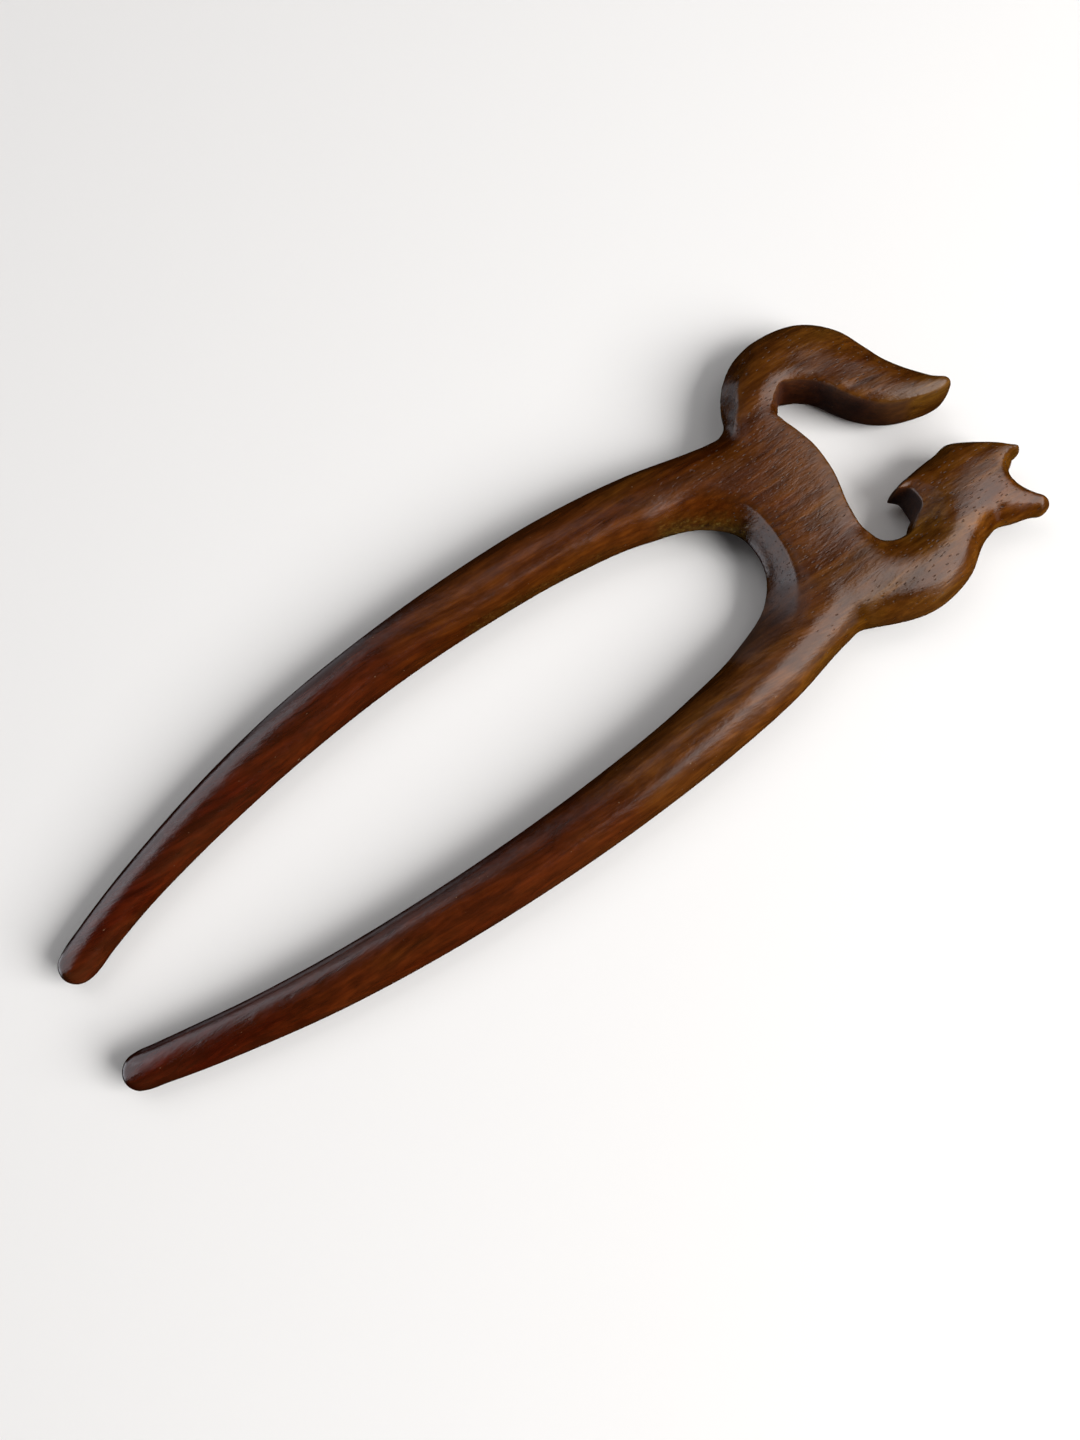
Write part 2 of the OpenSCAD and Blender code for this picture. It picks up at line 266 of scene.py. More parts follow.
def tour():
    """The ribs once round the fork, the outside of the far prong first."""
    main, tail, neck, ear = (len(LIMBS[k]) - 1 for k in (MAIN, TAIL, NECK, EAR))
    return (
        side_ribs(MAIN, range(0, TAIL_ROOT), LEFT)
        + corner_ribs(RUMP, MAIN, TAIL_ROOT)
        + side_ribs(TAIL, range(1, tail), LEFT)
        + corner_ribs(TAIL_TIP, TAIL, tail)
        + domed(TAIL_DOME, side_ribs(TAIL, range(tail - 1, 0, -1), RIGHT))
        + domed(BACK_DOME, corner_ribs(BACK, MAIN, TAIL_ROOT)
                + side_ribs(MAIN, range(TAIL_ROOT + 1, NECK_ROOT), LEFT)
                + corner_ribs(NOTCH, MAIN, NECK_ROOT))
        + side_ribs(NECK, range(1, CHEEK), LEFT)
        + domed(FACE_DOME, corner_ribs(CHIN, NECK, CHEEK) + corner_ribs(LIP, SNOUT, 1)
                + corner_ribs(NOSE, SNOUT, 2) + corner_ribs(BRIDGE, SNOUT, 1))
        + corner_ribs(CHEEK_TOP, NECK, CHEEK)
        + corner_ribs(BROW_TOP, NECK, BROW)
        + side_ribs(NECK, range(BROW + 1, neck + 1), LEFT)
        + end_ribs(NECK, neck, NEAR_EAR_END, POINTED_END)
        + side_ribs(NECK, [neck], RIGHT)
        + corner_ribs(EAR_TIP, NECK, BROW + 2)
        + corner_ribs(EAR_INNER, NECK, BROW + 1)
        + corner_ribs(DIP, NECK, BROW)
        + side_ribs(EAR, range(1, ear + 1), LEFT)
        + end_ribs(EAR, ear, FAR_EAR_END, ROUND_END)
        + side_ribs(EAR, range(ear, 1, -1), RIGHT)
        + corner_ribs(EAR_SIDE, EAR, 1)
        + corner_ribs(NAPE, NECK, BROW)
        + corner_ribs(THROAT, NECK, CHEEK)
        + domed(NAPE_DOME, side_ribs(NECK, range(CHEEK - 1, 0, -1), RIGHT))
        + domed(CHEST_DOME, corner_ribs(CHEST, MAIN, NECK_ROOT)
                + side_ribs(MAIN, range(NECK_ROOT + 1, main + 1), LEFT))
        + end_ribs(MAIN, main, PRONG_END, ROUND_END)
        + side_ribs(MAIN, range(main, NECK_ROOT, -1), RIGHT)
        + domed(ARCH_DOME, side_ribs(MAIN, range(NECK_ROOT, -1, -1), RIGHT))
        + end_ribs(MAIN, 0, PRONG_END, ROUND_END)
    )


def fade(past, run):
    """0 up to an edge, then evenly to 1 over a run."""
    return min(max(past / run, 0), 1)


def worked_bevel(x, y):
    """1 where the edge is worked to a flat bevel, inside the arch and on the tail's outer bend."""
    in_arch = x < 6 and -8 < y < 17
    if in_arch:
        return min(fade(x + 10, 7), fade(y + 8, 4))
    on_tail = 8 < x < 20 and y > 23.5
    if on_tail:
        return min(fade(x - 8, 2), fade(20 - x, 4))
    return 0


def fork_skin():
    """Points and faces of the closed skin, in the drawing frame in millimetres."""
    steps = [(len(rows) - 1) * ALONG for rows in LIMBS]

    def ridge_id(limb, step):
        if step == 0 and limb > 0:
            return ridge_id(GROWS_FROM[limb][0], GROWS_FROM[limb][1] * ALONG)
        return sum(steps[:limb]) + step

    ridge = []
    for limb, rows in enumerate(LIMBS):
        knots = np.stack([rows[:, X], rows[:, Y], BODY_T * rows[:, THICK] / 2], 1)
        last = len(knots) - 1
        for step in range(1 if limb else 0, steps[limb] + 1):
            i = min(step // ALONG, last - 1)
            p = between(knots[max(i - 1, 0)], knots[i], knots[i + 1], knots[min(i + 2, last)],
                        step / ALONG - i)
            # the main limb lies on the table, and the others are centred on the body's height
            half = min(p[2], BODY_T / 2)
            ridge.append((p[0], p[1], half if limb == MAIN else BODY_T / 2, half))

    def row_in(limb, rib):
        """The row of a limb that a rib stands on, where a limb grows from another too."""
        if rib[3] == limb:
            return rib[4]
        if rib[4] == 0 and GROWS_FROM[rib[3]][0] == limb:
            return GROWS_FROM[rib[3]][1]
        return 0

    ribs = tour()
    n = len(ribs)
    points = [np.array(r[:2]) for r in ribs]
    all_ribs = []
    for i, here in enumerate(ribs):
        after = ribs[(i + 1) % n]
        limb = max(here[3], after[3])
        start, stop = row_in(limb, here), row_in(limb, after)
        for k in range(ALONG):
            f = k / ALONG
            p = between(points[i - 1], points[i], points[(i + 1) % n], points[(i + 2) % n], f)
            all_ribs.append((p[0], p[1], here[2] + (after[2] - here[2]) * f,
                             ridge_id(limb, start * ALONG + (stop - start) * k),
                             here[5] + (after[5] - here[5]) * f))

    turns = range(-1, 2 * AROUND + 2)
    inner = len(turns)
    verts = []
    for x, y, soft, at, dome_share in all_ribs:
        bevel = worked_bevel(x, y)
        dome = DOME * dome_share
        out_power = 2 / EDGE_POWER + BEVEL_OUT * bevel
        turn_power = 2 / EDGE_POWER + BEVEL_TURN * bevel
        mx, my, mz, half = ridge[at]
        rx, ry = x - mx, y - my
        share = min(soft / math.hypot(rx, ry), WIDEST_SOFT)
        for q in turns:
            a = math.radians(90 * q / AROUND)
            if 0 <= q <= 2 * AROUND:
                out = 1 - share + share * max(math.sin(a), 0) ** out_power
                turn = math.copysign(abs(math.cos(a)) ** turn_power, math.cos(a))
            else:
                out = (1 - share) / 2
                turn = 1 if q < 0 else -1
            up = turn * (1 - dome + dome * math.sqrt(max(1 - out * out, 0)))
            verts.append((mx + rx * out, my + ry * out, mz + half * up))
    top = len(verts)
    verts += [(p[0], p[1], p[2] + p[3]) for p in ridge]
    under = len(verts)
    verts += [(p[0], p[1], p[2] - p[3]) for p in ridge]

    faces = []
    count = len(all_ribs)
    for i in range(count):
        j = (i + 1) % count
        a, b = i * inner, j * inner
        p, q = all_ribs[i][3], all_ribs[j][3]
        for k in range(inner - 1):
            faces.append((a + k, b + k, b + k + 1, a + k + 1))
        if p == q:
            faces.append((top + p, b, a))
            faces.append((under + p, a + inner - 1, b + inner - 1))
        else:
            faces.append((top + p, top + q, b, a))
            faces.append((under + p, a + inner - 1, b + inner - 1, under + q))
    return np.array(verts), faces


points, faces = fork_skin()
centre = np.array([*DRAWING_CENTRE, 0])
mesh = bpy.data.meshes.new("hair_fork_skin")
mesh.from_pydata([tuple((p - centre) * MM) for p in points], [], faces)
mesh.validate()
fork = bpy.data.objects.new("carved_fork", mesh)
bpy.context.scene.collection.objects.link(fork)


def applied(kind, **settings):
    """The fork's mesh after one modifier."""
    modifier = fork.modifiers.new("step", kind)
    for name, value in settings.items():
        setattr(modifier, name, value)
    bpy.context.view_layer.update()
    evaluated = fork.evaluated_get(bpy.context.evaluated_depsgraph_get())
    result = bpy.data.meshes.new_from_object(evaluated)
    fork.modifiers.clear()
    fork.data = result
    return result


def points_of(mesh):
    """Vertex positions in millimetres."""
    co = np.zeros(len(mesh.vertices) * 3)
    mesh.vertices.foreach_get("co", co)
    return co.reshape(-1, 3) / MM


def edges_of(mesh):
    """Pairs of vertex numbers."""
    pairs = np.zeros(len(mesh.edges) * 2, int)
    mesh.edges.foreach_get("vertices", pairs)
    return pairs.reshape(-1, 2)


def neighbour_mean(values, edges):
    """Mean of each vertex's neighbours' values."""
    n = len(values)
    degree = np.bincount(edges.ravel(), minlength=n)[:, None]
    total = np.zeros_like(values)
    for axis in range(values.shape[1]):
        total[:, axis] = (np.bincount(edges[:, 0], values[edges[:, 1], axis], n)
                          + np.bincount(edges[:, 1], values[edges[:, 0], axis], n))
    return total / degree


def moved(mesh, co):
    """Puts the vertices at these millimetre positions and returns their normals."""
    mesh.vertices.foreach_set("co", (co * MM).ravel())
    mesh.update()
    n = np.zeros(len(co) * 3)
    mesh.vertex_normals.foreach_get("vector", n)
    return n.reshape(-1, 3)


def smoothed(co, edges, passes, share=1):
    """Evens out fine steps without shrinking the form."""
    for _ in range(passes):
        co = co + 0.5 * share * (neighbour_mean(co, edges) - co)
        co = co - 0.52 * share * (neighbour_mean(co, edges) - co)
    return co


def distance_from(spot, where):
    """Distance from each 2-D point to one spot."""
    return np.linalg.norm(where - np.array(spot), axis=1)


def distance_to(line, where):
    """Distance from each 2-D point to a polyline."""
    best = np.full(len(where), 1e9)
    line = [np.array(p, float) for p in line]
    for a, b in zip(line[:-1], line[1:]):
        t = np.clip(((where - a) @ (b - a)) / ((b - a) @ (b - a)), 0, 1)
        best = np.minimum(best, np.linalg.norm(where - (a + t[:, None] * (b - a)), axis=1))
    return best


def strongest(marks, where, power):
    """The strongest of several marks, each a polyline, a width and an amount that fades from it."""
    return np.max([amount * np.exp(-((distance_to(line, where) / width) ** power))
                   for line, width, amount in marks], axis=0)


# The remesh leaves a fine stair step, and the skin's fans leave faint creases on the two faces:
# a light smoothing everywhere, less at the tip of the snout, and a stronger one on the faces, away
# from the thin tips. Distances are in millimetres.
VOXEL = 0.28
FINE_PASSES = 4
FACE_PASSES = 50
LAST_PASSES = 3
CRISP_SHARE = 0.4
CRISP_START, CRISP_RUN = 3, 2
FACE_START, FACE_RUN = 0.75, 0.2
TIP_START, TIP_RUN = 2.0, 3.0
TIPS = [(40.2, 10.6), (42.2, -3.4), (39.8, -12.2), (23.3, 0.8), (36.0, -11.0)]
SNOUT_TIP = (24.3, -0.5)
baked = applied("REMESH", mode="VOXEL", voxel_size=VOXEL * MM)
edges = edges_of(baked)
co = points_of(baked)
flat = co[:, :2] + centre[:2]
crisp = np.clip((distance_from(SNOUT_TIP, flat) - CRISP_START) / CRISP_RUN, CRISP_SHARE, 1)[:, None]
co = smoothed(co, edges, FINE_PASSES, crisp)
near_tip = np.min([distance_from(tip, flat) for tip in TIPS], axis=0)
facing = np.abs(moved(baked, co)[:, 2])
level = (np.clip((facing - FACE_START) / FACE_RUN, 0, 1)
         * np.clip((near_tip - TIP_START) / TIP_RUN, 0, 1))
for _ in range(FACE_PASSES):
    co = co + 0.5 * level[:, None] * (neighbour_mean(co, edges) - co)

# Carving: soft hollows and crests, as lines in the drawing frame with a width in millimetres and
# the share of the half thickness they add or take away on both faces.
CARVING = [
    ([(15.8, -2), (17.2, -5.2), (20.6, -6.8), (23.8, -5.8), (25.6, -3.2), (25.2, -0.6)], 2.0, -0.11),
    ([(24.6, 0.4), (28.5, 0.4)], 2.0, -0.08),
    ([(-30, -15.6), (-14, -14.4), (-8, -13.5), (-2, -12.4), (4, -10.9), (9, -9.6), (13, -9.4),
      (17, -10.2), (20, -11.0), (24, -10.8), (27.5, -9.2), (30.5, -7.2), (34, -6.0), (38, -5.4),
      (41, -4.6)], 2.4, 0.05),
    ([(29.5, -1.8), (33, -0.8), (37, -0.6)], 2.2, -0.06),
    ([(6.0, -7.0), (13.5, -6.4)], 3.2, 0.065),
    ([(15.8, 24.9), (16.6, 25.3), (18.4, 25.9), (21.5, 25.6), (24.2, 22.8), (26.3, 18.8)], 1.2, 0.035),
    ([(26.3, 18.8), (28.2, 16.4), (31.6, 14.0), (35.5, 12.0), (38.5, 11.2)], 2.0, 0.045),
    ([(14, 28), (19, 31), (26, 30.5), (31, 25.5)], 3.0, -0.06),
    ([(31, 25.5), (35.5, 19), (38.5, 15.4)], 3.0, -0.05),
    ([(33, -11.6), (36.5, -12.6)], 1.5, -0.08),
]
# The carving fades out on the prongs, over a run of their length.
FADE_START, FADE_RUN = -24, 14
relief = np.ones(len(co))
for line, width, amount in CARVING:
    relief += amount * np.exp(-((distance_to(line, flat) / width) ** 2))
fox = np.clip((flat[:, 0] - FADE_START) / FADE_RUN, 0, 1)
fox = fox * fox * (3 - 2 * fox)
co[:, 2] = BODY_T / 2 + (co[:, 2] - BODY_T / 2) * (1 + (relief - 1) * fox)
co = smoothed(co, edges, LAST_PASSES, crisp)
co[:, 2] -= co[:, 2].min()

# The wall under the chin leans, the notch being wider at the top, and so does the edge of the nose.
# A lean is how far the top edge moves, in millimetres; the bottom edge moves as far the other way.
CHIN_WALL = [(24.3, -1.2), (24.5, -2.5), (23.6, -4.2)]
CHIN_LEAN, CHIN_WIDTH = 0.4, 1.6
NOSE_EDGE = (23.4, 1.1)
NOSE_LEAN, NOSE_WIDTH = 0.5, 1.3
lean = CHIN_LEAN * np.exp(-((distance_to(CHIN_WALL, flat) / CHIN_WIDTH) ** 2))
co[:, 0] += lean * (co[:, 2] / BODY_T * 2 - 1)
lean = NOSE_LEAN * np.exp(-((distance_from(NOSE_EDGE, flat) / NOSE_WIDTH) ** 2))
co[:, 1] -= lean * (co[:, 2] / BODY_T * 2 - 1)
moved(baked, co)

# Fewer triangles, then how sharply the wood turns at each point, for wear.
KEPT = 0.56
SHARP_TURN = 0.02
TURN_PASSES = 6
thinned = applied("DECIMATE", ratio=KEPT)
edges = edges_of(thinned)
co = points_of(thinned)
normals = moved(thinned, co)
bend = -((neighbour_mean(co, edges) - co) * normals).sum(1)[:, None]
for _ in range(TURN_PASSES):
    bend = 0.5 * bend + 0.5 * neighbour_mean(bend, edges)
flat = co[:, :2] + centre[:2]

# Marks for the material: where the arch cuts across the grain; the steep walls of tail and chin, duller
# and painted with shade, and the arch's low rim, which gets half as much of both; and wear.
END_GRAIN = [([(-8, 13.6), (-4.6, 12.2), (-1.8, 10.4), (0.4, 8.2)], 1.7, 1.0),
             ([(-40, 17.6), (-28, 17.3), (-18, 16.2), (-10, 14.3)], 0.7, 0.5)]
UNPOLISHED_SHADED_WALLS = [([(18, 23.8), (20.5, 22.8), (23.2, 19.8), (25.5, 15.7), (28, 12.6), (31, 10.6)], 2.6, 1.0),
              ([(23.5, 1.0), (24.5, -1.5), (24.0, -4)], 2.0, 1.0)]
SHADED_LOW_RIM = [([(-9, -7.4), (-4, -6.2), (-0.5, -4.8)], 3.0, 0.5)]
STEEP_START, STEEP_RUN = 0.8, 0.3
steep = np.clip((STEEP_START - np.abs(normals[:, 2])) / STEEP_RUN, 0, 1)
MARKS = {
    "end_grain": strongest(END_GRAIN, flat, 2),
    "dull_and_painted_shade": np.maximum(steep * strongest(UNPOLISHED_SHADED_WALLS, flat, 4), strongest(SHADED_LOW_RIM, flat, 4)),
    "wear": np.clip(bend[:, 0] / SHARP_TURN, 0, 1),
}
for name, values in MARKS.items():
    thinned.attributes.new(name, "FLOAT", "POINT").data.foreach_set("value", values)
for poly in thinned.polygons:
    poly.use_smooth = True

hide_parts("hair_fork")
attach(fork, "root")


# material
def walnut():
    """Oiled walnut in the object's own metres. A colour is linear red, green and blue."""
    material = bpy.data.materials.new("oiled_walnut")
    material.use_nodes = True
    tree = material.node_tree
    nodes, links = tree.nodes, tree.links
    nodes.clear()
    output = nodes.new("ShaderNodeOutputMaterial")
    shader = nodes.new("ShaderNodeBsdfPrincipled")
    links.new(shader.outputs["BSDF"], output.inputs["Surface"])
    place = nodes.new("ShaderNodeTexCoord")

    def mapping(scale, location, source):
        node = nodes.new("ShaderNodeMapping")
        node.inputs["Scale"].default_value = scale
        node.inputs["Location"].default_value = location
        links.new(source, node.inputs["Vector"])
        return node.outputs["Vector"]

    def noise(scale, detail, rough, location=(0, 0, 0), source=None):
        """Noise with this many waves a metre along the fork, across it and up, in the grain."""
        vector = mapping(scale, location, source or grain)
        node = nodes.new("ShaderNodeTexNoise")
        node.inputs["Scale"].default_value = 1.0
        node.inputs["Detail"].default_value = detail
        node.inputs["Roughness"].default_value = rough
        links.new(vector, node.inputs["Vector"])
        return node.outputs["Fac"]

    def ramp(value, stops):
        """Colour that goes smoothly through the stops, each a place and a colour."""
        node = nodes.new("ShaderNodeValToRGB")
        node.color_ramp.interpolation = "EASE"
        elements = node.color_ramp.elements
        while len(elements) < len(stops):
            elements.new(0.5)
        for element, (at, color) in zip(elements, stops):
            element.position = at
            element.color = (*color, 1)
        links.new(value, node.inputs["Fac"])
        return node.outputs["Color"]

    def grey(value, low, high, a=0.0, b=1.0):
        """A value that goes smoothly from a at low to b at high."""
        node = nodes.new("ShaderNodeMapRange")
        node.interpolation_type = "SMOOTHSTEP"
        node.inputs["From Min"].default_value = low
        node.inputs["From Max"].default_value = high
        node.inputs["To Min"].default_value = a
        node.inputs["To Max"].default_value = b
        links.new(value, node.inputs["Value"])
        return node.outputs["Result"]

    def math_node(kind, a, b):
        node = nodes.new("ShaderNodeMath")
        node.operation = kind
        for socket, value in zip(node.inputs, (a, b)):
            if isinstance(value, (int, float)):
                socket.default_value = value
            else:
                links.new(value, socket)
        return node.outputs["Value"]

    def mix(kind, factor, a, b):
        node = nodes.new("ShaderNodeMix")
        node.data_type = "RGBA"
        node.blend_type = kind
        for socket, value in ((node.inputs[0], factor), (node.inputs[6], a), (node.inputs[7], b)):
            if isinstance(value, (int, float)):
                socket.default_value = value
            elif isinstance(value, tuple):
                socket.default_value = (*value, 1)
            else:
                links.new(value, socket)
        return node.outputs[2]

    def mark(name):
        node = nodes.new("ShaderNodeAttribute")
        node.attribute_name = name
        return node.outputs["Fac"]

    # grain runs along the fork; the lines wander a little
    wander = nodes.new("ShaderNodeTexNoise")
    wander.inputs["Scale"].default_value = 28
    wander.inputs["Detail"].default_value = 1
    links.new(place.outputs["Object"], wander.inputs["Vector"])
    shift = nodes.new("ShaderNodeVectorMath")
    shift.operation = "MULTIPLY_ADD"
    shift.inputs[1].default_value = (0.0, 0.006, 0.006)
    links.new(wander.outputs["Color"], shift.inputs[0])
    links.new(place.outputs["Object"], shift.inputs[2])
    grain = shift.outputs["Vector"]

    # colour: deep red brown on the prongs to amber brown on the fox, in soft clouds and mottles, with
    # dark streaks, bands, fibre and threads along the grain
    split = nodes.new("ShaderNodeSeparateXYZ")
    links.new(place.outputs["Object"], split.inputs[0])
    toward_fox = grey(split.outputs["X"], -0.08, 0.06)
    clouds = noise((30, 75, 75), 4, 0.6)
    shade = math_node("ADD", math_node("MULTIPLY", clouds, 0.6),
                      math_node("MULTIPLY", toward_fox, 0.4))
    base = ramp(shade, [(0.25, (0.048, 0.0035, 0.0005)), (0.45, (0.056, 0.009, 0.001)),
                        (0.65, (0.082, 0.025, 0.0025)), (0.85, (0.092, 0.040, 0.004))])
    mottle = noise((260, 620, 620), 4, 0.6)
    base = mix("MULTIPLY", 0.7, base,
               ramp(mottle, [(0.36, (0.66, 0.60, 0.5)), (0.64, (1.22, 1.22, 1.2))]))
    streaks = noise((22, 330, 330), 4, 0.6)
    base = mix("MULTIPLY", 0.6, base,
               ramp(streaks, [(0.34, (0.55, 0.42, 0.35)), (0.56, (1.08, 1.08, 1.08))]))
    bands = noise((9, 150, 150), 2, 0.5, location=(0.3, 0.1, 0))
    base = mix("MULTIPLY", 0.6, base, ramp(bands, [(0.36, (0.60, 0.45, 0.38)), (0.46, (1, 1, 1))]))
    fibre = noise((160, 1700, 1700), 5, 0.7)
    base = mix("MULTIPLY", 0.7, base,
               ramp(fibre, [(0.35, (0.66, 0.60, 0.54)), (0.66, (1.25, 1.27, 1.3))]))
    threads = noise((48, 1000, 1000), 3, 0.6, location=(1, 4, 2))
    base = mix("MULTIPLY", 0.6, base,
               ramp(threads, [(0.38, (0.62, 0.52, 0.5)), (0.60, (1.16, 1.18, 1.2))]))

    # painted shade on the dull walls and low arch rim; lighter on head and neck, redder on the tail's
    # side
    dull_and_painted_shade = mark("dull_and_painted_shade")
    base = mix("MULTIPLY", dull_and_painted_shade, base, (0.5, 0.38, 0.4))
    head = math_node("MULTIPLY", grey(split.outputs["X"], 0.050, 0.066),
                     grey(split.outputs["Y"], -0.003, 0.003, 1.0, 0.0))
    base = mix("MULTIPLY", 1.0, base, ramp(head, [(0, (1, 1, 1)), (1, (1.25, 1.32, 1.2))]))
    heart = math_node("MULTIPLY", grey(split.outputs["Y"], 0.003, 0.009),
                      grey(split.outputs["X"], 0.036, 0.047, 1.0, 0.0))
    base = mix("MULTIPLY", heart, base, (0.87, 0.70, 0.6))

    # open grain with a golden cast where the arch cuts across it
    flecks = noise((1100, 1600, 1600), 3, 0.7)
    gold = ramp(flecks, [(0.38, (0.012, 0.007, 0.0015)), (0.55, (0.052, 0.031, 0.004)),
                         (0.70, (0.170, 0.118, 0.028))])
    base = mix("MIX", math_node("MULTIPLY", mark("end_grain"), 0.9), base, gold)

    # pores on the fox: short dark dashes along the grain, crowded in some places and few in others,
    # and a few pale specks
    cells = nodes.new("ShaderNodeTexVoronoi")
    cells.inputs["Scale"].default_value = 1.0
    cells.inputs["Randomness"].default_value = 1.0
    links.new(mapping((800, 2600, 2600), (0, 0, 0), grain), cells.inputs["Vector"])
    cell_kind = nodes.new("ShaderNodeSeparateXYZ")
    links.new(cells.outputs["Color"], cell_kind.inputs[0])
    crowd = noise((45, 110, 110), 2, 0.5, location=(3, 1, 2), source=place.outputs["Object"])
    chance = math_node("ADD", math_node("MULTIPLY", cell_kind.outputs["X"], 0.4), crowd)
    here = grey(chance, 0.62, 0.78)
    here = math_node("MULTIPLY", here, grey(split.outputs["X"], 0.025, 0.045))
    pore_mask = math_node("MULTIPLY", grey(cells.outputs["Distance"], 0.10, 0.30, 1.0, 0.0), here)
    base = mix("MIX", math_node("MULTIPLY", pore_mask, 0.8), base, (0.012, 0.004, 0.0015))
    specks = grey(noise((1500, 2300, 2300), 1, 0.5, location=(5, 3, 1)), 0.77, 0.83)
    base = mix("MIX", math_node("MULTIPLY", specks, 0.6), base, (0.22, 0.15, 0.09))

    # handling has worn the sharpest turns a little paler and smoother
    rub = math_node("MULTIPLY", mark("wear"), grey(bands, 0.35, 0.6, 0.3, 1.0))
    base = mix("MIX", math_node("MULTIPLY", rub, 0.35), base, (0.15, 0.07, 0.025))
    links.new(base, shader.inputs["Base Color"])

    # oiled sheen, broken by the pores and lost on the steep walls marked dull, whose darker colour is
    # painted shade
    rough = math_node("ADD", grey(fibre, 0.3, 0.7, 0.14, 0.20),
                      math_node("MULTIPLY", pore_mask, 0.25))
    rough = math_node("ADD", rough, math_node("MULTIPLY", dull_and_painted_shade, 0.6))
    rough = math_node("SUBTRACT", rough, math_node("MULTIPLY", rub, 0.06))
    links.new(rough, shader.inputs["Roughness"])
    shader.inputs["Specular IOR Level"].default_value = 0.5
    shader.inputs["Coat Weight"].default_value = 0.05
    shader.inputs["Coat Roughness"].default_value = 0.2

    # fine unevenness of the oiled surface, and the pores as pits
    grit = noise((800, 2500, 2500), 3, 0.6)
    dimples = noise((450, 1050, 1050), 2, 0.5, location=(2, 7, 4))
    height = math_node("MULTIPLY", fibre, 0.5)
    for pattern, amount in ((mottle, 0.35), (grit, 0.6), (dimples, 0.7)):
        height = math_node("ADD", height, math_node("MULTIPLY", pattern, amount))
    height = math_node("SUBTRACT", height, pore_mask)
    bump = nodes.new("ShaderNodeBump")
    bump.inputs["Strength"].default_value = 0.5
    bump.inputs["Distance"].default_value = 0.00012
    links.new(height, bump.inputs["Height"])
    links.new(bump.outputs["Normal"], shader.inputs["Normal"])
    return material


fork.data.materials.clear()
fork.data.materials.append(walnut())


# stage, light and camera
FLOOR_HALF = 1.6
FLOOR_GAP = 0.00005
FORK_TURN = math.radians(33)
CAMERA_MM = (-15.06, -54.68, 172.11)
CAMERA_LOOK = (0.07383, 0.27944, -0.95732)
CAMERA_UP = (0.53428, 0.79947, 0.27457)


def plain_floor():
    material = bpy.data.materials.new("pale_floor")
    material.use_nodes = True
    shader = material.node_tree.nodes["Principled BSDF"]
    shader.inputs["Base Color"].default_value = (0.82, 0.82, 0.83, 1)
    shader.inputs["Roughness"].default_value = 0.75
    return material


floor_mesh = bpy.data.meshes.new("floor")
CORNERS = ((-1, -1), (1, -1), (1, 1), (-1, 1))
floor_mesh.from_pydata([(x * FLOOR_HALF, y * FLOOR_HALF, 0) for x, y in CORNERS],
                       [], [(0, 1, 2, 3)])
floor = bpy.data.objects.new("floor", floor_mesh)
floor.location = (0, 0, -FLOOR_GAP)
floor.data.materials.append(plain_floor())
bpy.context.scene.collection.objects.link(floor)
floor.visible_glossy = False
floor.visible_diffuse = False


def direction(image_angle, elevation):
    """Unit vector to a light: image_angle in degrees anticlockwise from the photo's right side."""
    a, e = math.radians(image_angle) - FORK_TURN, math.radians(elevation)
    return Vector((math.cos(a) * math.cos(e), math.sin(a) * math.cos(e), math.sin(e)))


def soft_light(name, image_angle, elevation, size, power, color, across=0):
    """Area light a metre away; across slides it sideways along the image, in metres."""
    light = bpy.data.lights.new(name, "AREA")
    light.shape = "RECTANGLE"
    light.size, light.size_y = size
    light.energy = power
    light.color = color
    lamp = bpy.data.objects.new(name, light)
    toward = direction(image_angle, elevation)
    sideways = direction(image_angle + 90, 0)
    lamp.matrix_world = (Matrix.Translation(toward + sideways * across)
                         @ Matrix((sideways, toward.cross(sideways), toward)).transposed().to_4x4())
    bpy.context.scene.collection.objects.link(lamp)
    return lamp


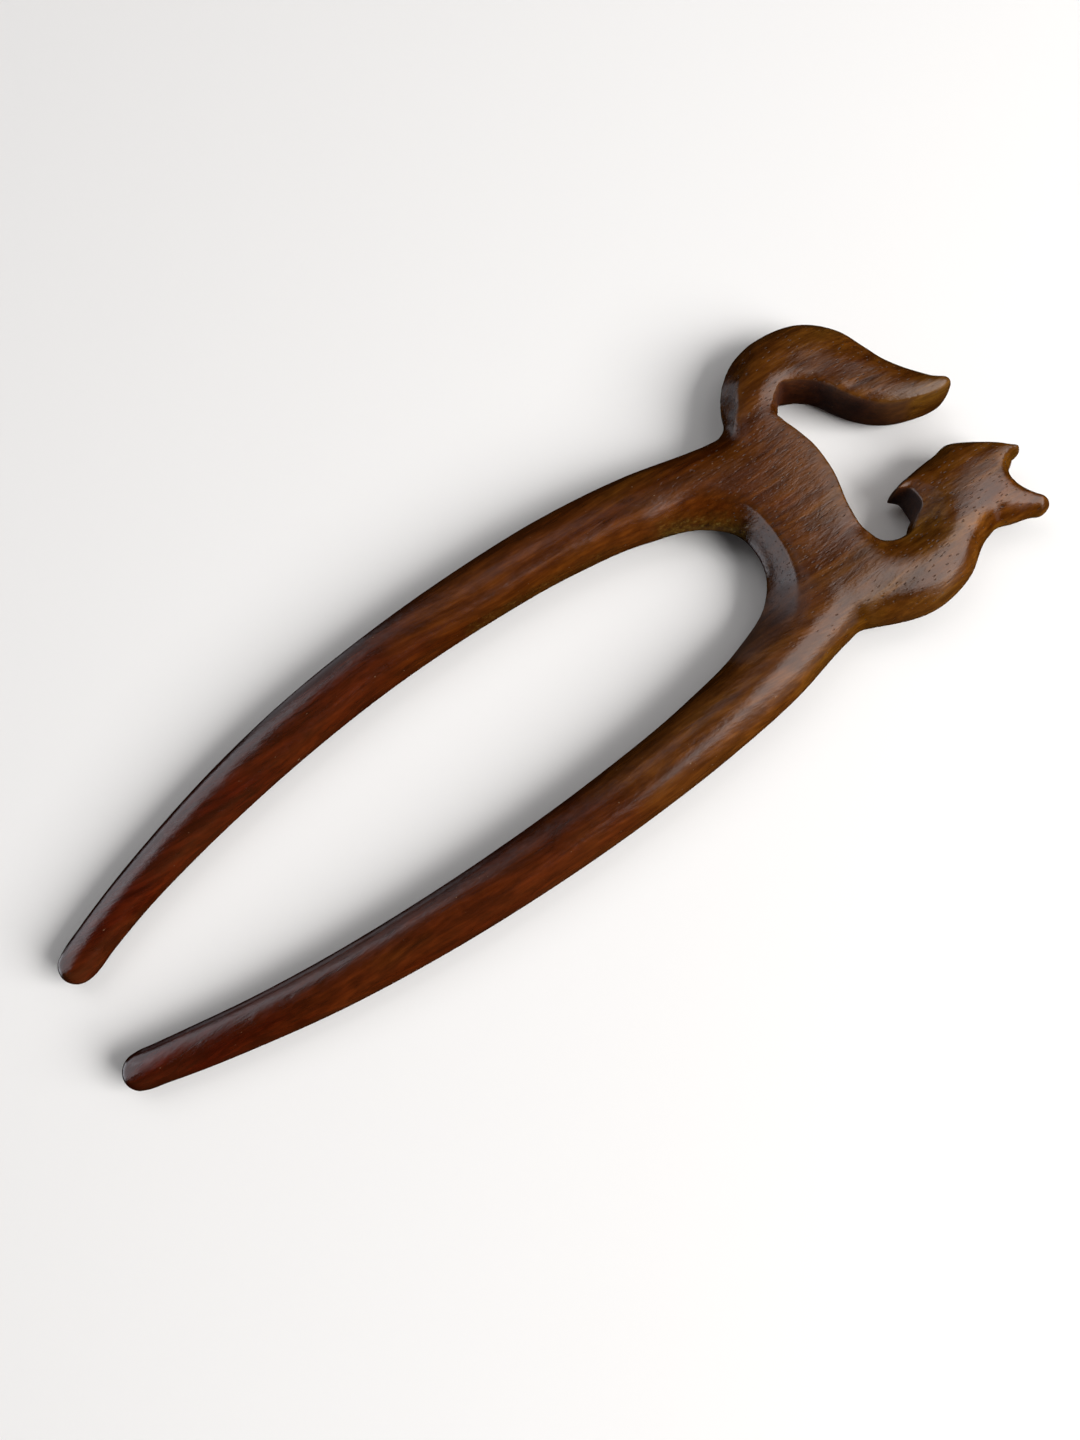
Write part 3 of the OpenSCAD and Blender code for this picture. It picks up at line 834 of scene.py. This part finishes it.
# Panels that only the gloss sees give the sheen, and three soft lights that it doesn't see the rest.
# Columns: name, image angle, elevation, width and height, power, colour, and how far a panel is slid.
PANELS = [
    ("window", 152, 22, (0.39, 1.04), 2.2, (0.90, 0.92, 1.0), 0),
    ("window_edge", 134.5, 13, (0.23, 2.0), 0.7, (0.90, 0.92, 1.0), 0),
    ("window_side", 185, 13, (0.81, 2.0), 9, (0.92, 0.93, 1.0), 0),
    ("sky_low", 0, 50.6, (0.50, 0.986), 4.5, (1.0, 0.96, 0.94), 0.27),
    ("sky_foot", 0, 47.2, (0.38, 0.87), 3.0, (1.0, 0.96, 0.94), -0.17),
    ("sky_high", 0, 51.0, (0.40, 0.986), 1.6, (1.0, 0.94, 0.90), 0.72),
    ("ceiling", 108, 65, (0.20, 0.17), 0.09, (0.95, 0.92, 1.0), 0),
    ("low_sky", -23, 20, (0.42, 0.8), 0.5, (1.0, 0.95, 0.92), 0),
]
for name, image_angle, elevation, size, power, color, across in PANELS:
    soft_light(name, image_angle, elevation, size, power, color, across).visible_diffuse = False
LIGHTS = [
    ("side_fill", -20, 32, (0.7, 0.6), 17.5, (1.0, 0.98, 0.95)),
    ("right_fill", 20, 52, (0.9, 0.8), 1.6, (1.0, 0.98, 0.95)),
    ("over_left", 130, 58, (0.7, 0.7), 2.0, (1.0, 0.98, 0.96)),
]
for name, image_angle, elevation, size, power, color in LIGHTS:
    soft_light(name, image_angle, elevation, size, power, color).visible_glossy = False

world = bpy.data.worlds.new("studio")
world.use_nodes = True
world.node_tree.nodes["Background"].inputs["Color"].default_value = (1, 1, 1, 1)
world.node_tree.nodes["Background"].inputs["Strength"].default_value = 0.08
world.cycles_visibility.glossy = False
bpy.context.scene.world = world
bpy.context.scene.view_settings.view_transform = "Standard"

camera_data = bpy.data.cameras.new("camera")
camera_data.sensor_fit = "AUTO"
camera_data.sensor_width = 36
camera_data.lens = 30
camera_data.clip_start = 0.01
camera_data.clip_end = 20
camera = bpy.data.objects.new("camera", camera_data)
look = Vector(CAMERA_LOOK).normalized()
right = look.cross(Vector(CAMERA_UP)).normalized()
up = right.cross(look)
camera.matrix_world = (Matrix.Translation(Vector(CAMERA_MM) * MM)
                       @ Matrix((right, up, -look)).transposed().to_4x4())
bpy.context.scene.collection.objects.link(camera)
bpy.context.scene.camera = camera
